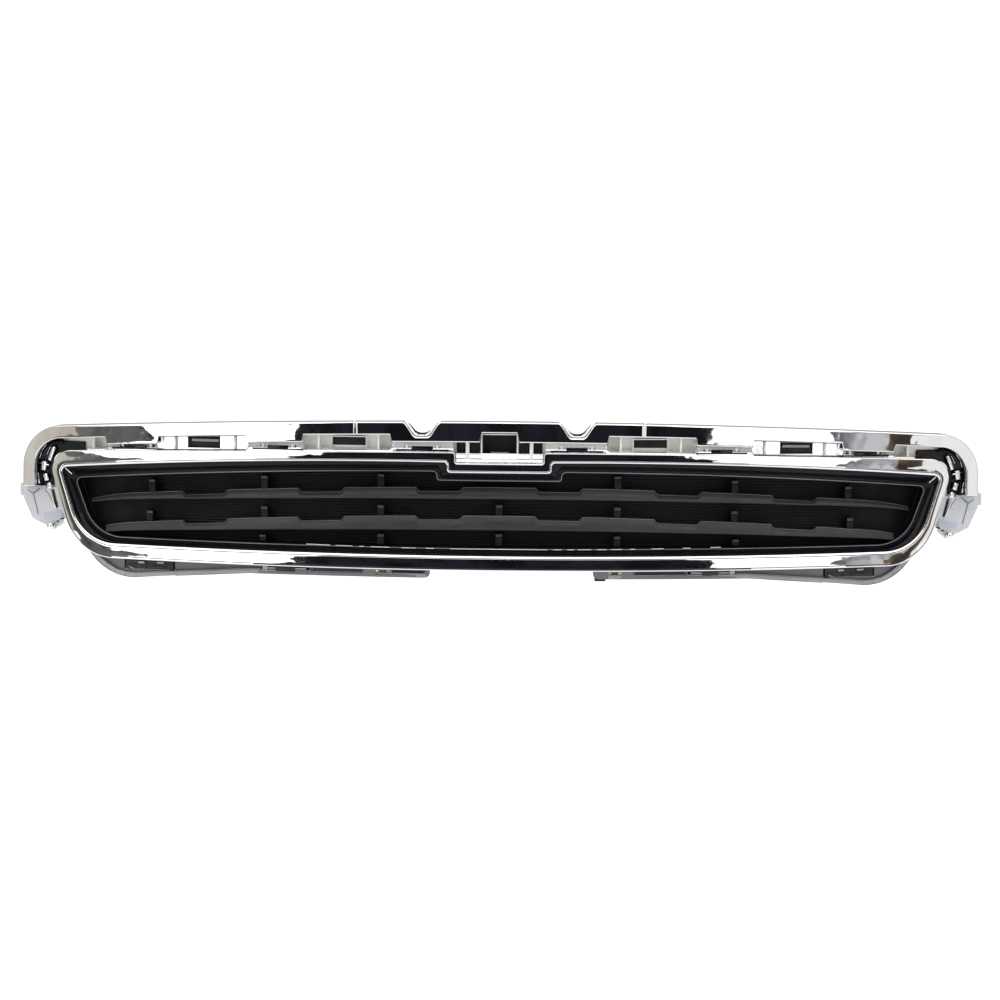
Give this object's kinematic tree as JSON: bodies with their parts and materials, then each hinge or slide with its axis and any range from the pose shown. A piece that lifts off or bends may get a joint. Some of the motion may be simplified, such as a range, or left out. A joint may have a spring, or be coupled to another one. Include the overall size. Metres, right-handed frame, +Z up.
{
  "type": "front grille",
  "caption": "Wide bowed car front grille: chrome surround and ring, closed black louvred panel, end brackets and lower clip rails.",
  "frame": {"origin": "centre of the bounding box", "axes": "+X to the right as seen from in front, +Y towards the car, +Z up; the grille faces -Y"},
  "size_m": [1.119, 0.1718, 0.1841],
  "materials": {
    "chrome": "bright plated",
    "gloss_black": "gloss moulded",
    "matt_black": "fine grained",
    "rail_grey": "satin moulded",
    "pale_grey": "satin natural",
    "zinc": "yellow zinc plated",
    "spring_black": "blackened spring steel",
    "catch_tan": "natural moulded"
  },
  "bodies": {
    "root": {"chrome_band_left": "chrome", "chrome_band_centre": "chrome", "chrome_band_right": "chrome", "clip_channel_left": "chrome", "clip_channel_centre": "chrome", "clip_channel_right": "chrome", "chrome_ring": "chrome", "bezel_frame": "gloss_black", "air_blocker_panel": "matt_black", "louvre_upper": "matt_black", "louvre_lower": "matt_black", "fins_upper": "matt_black", "fins_middle": "matt_black", "fins_lower": "matt_black", "upper_carrier_left": "matt_black", "upper_carrier_centre": "matt_black", "upper_carrier_right": "matt_black", "window_tabs": "catch_tan", "window_clips": "matt_black", "end_clip_left": "matt_black", "end_clip_right": "matt_black", "emblem_socket": "matt_black", "socket_catch": "catch_tan", "bracket_left": "pale_grey", "bracket_right": "pale_grey", "ball_stud_left": "chrome", "ball_stud_right": "chrome", "rail_left": "rail_grey", "rail_right": "rail_grey", "rail_clip_inner_left": "spring_black", "rail_clip_inner_right": "spring_black", "rail_clip_outer_left": "spring_black", "rail_clip_outer_right": "spring_black", "clip_nut_left": "zinc", "clip_nut_right": "zinc", "rail_pad": "matt_black"}
  },
  "joints": []
}
